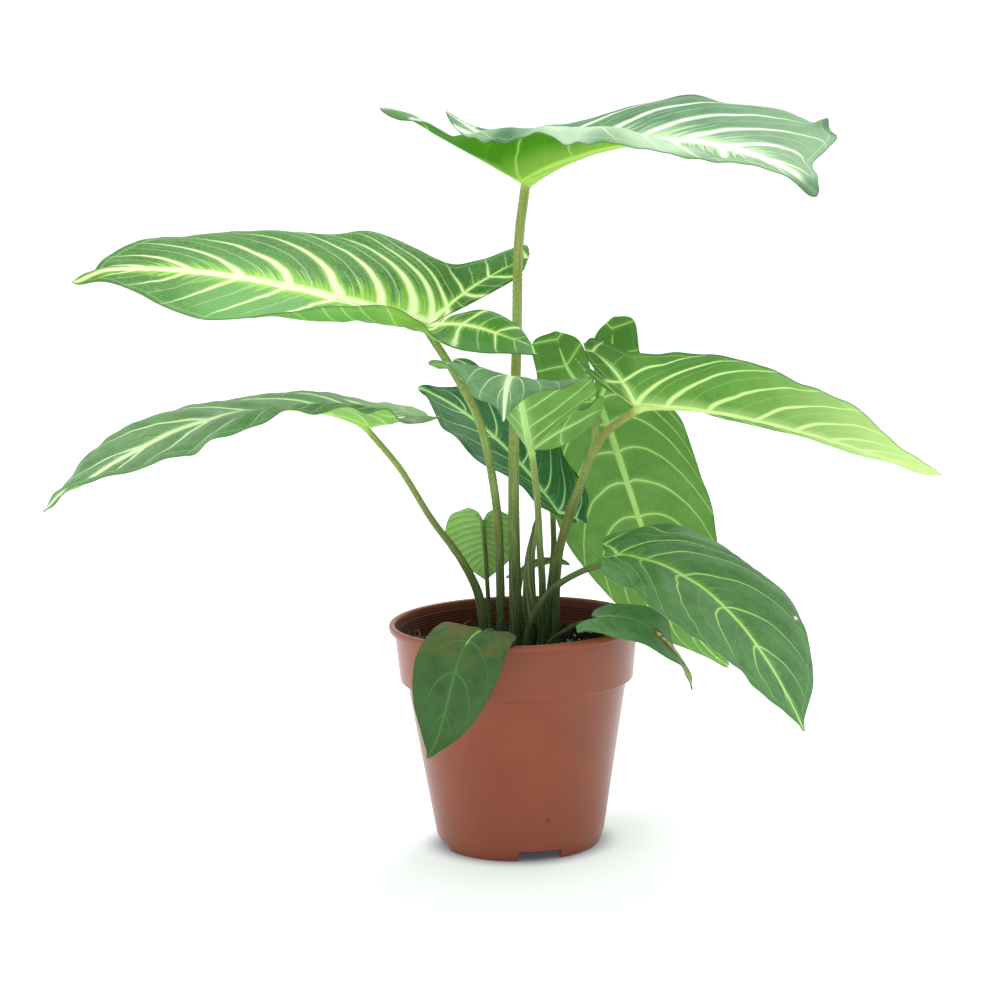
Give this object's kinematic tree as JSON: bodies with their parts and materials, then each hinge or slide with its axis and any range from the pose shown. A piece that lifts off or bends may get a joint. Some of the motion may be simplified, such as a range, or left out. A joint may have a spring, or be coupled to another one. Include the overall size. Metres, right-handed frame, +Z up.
{
  "type": "potted caladium",
  "caption": "Potted foliage plant: pale-veined arrow-shaped leaves on long thin stems and a rolled new leaf, in soil in a tapered plastic nursery pot with a collar and drainage notches",
  "frame": {"origin": "centre of the flat disc under the pot, on the surface that the pot stands on", "axes": "+Z up out of the pot; +X along the widest spread of the leaves, the way the top leaf points; the front, with the low leaf that hangs over the rim, faces -Y"},
  "size_m": [0.4762, 0.2696, 0.4094],
  "materials": {
    "pot": "satin moulded plastic, terracotta colour",
    "soil": "matte, crumbly peat with white grains",
    "leaf": "satin, deep green with pale veins",
    "stem": "satin, olive green with fine hairs",
    "spear": "satin, dark olive with stripes"
  },
  "bodies": {
    "root": {"pot": "pot", "soil": "soil", "new_leaf_spear": "spear", "leaf_top": "leaf", "leaf_upper_left": "leaf", "leaf_lower_left": "leaf", "leaf_right": "leaf", "leaf_rear": "leaf", "leaf_lower_right": "leaf", "leaf_front": "leaf", "leaf_inner": "leaf", "leaf_right_rim": "leaf", "leaf_front_rim": "leaf", "leaf_small_rear": "leaf", "leaf_smallest": "leaf", "stem_top": "stem", "stem_upper_left": "stem", "stem_lower_left": "stem", "stem_right": "stem", "stem_rear": "stem", "stem_lower_right": "stem", "stem_front": "stem", "stem_inner": "stem", "stem_right_rim": "stem", "stem_front_rim": "stem", "stem_small_rear": "stem", "stem_smallest": "stem"}
  },
  "joints": []
}
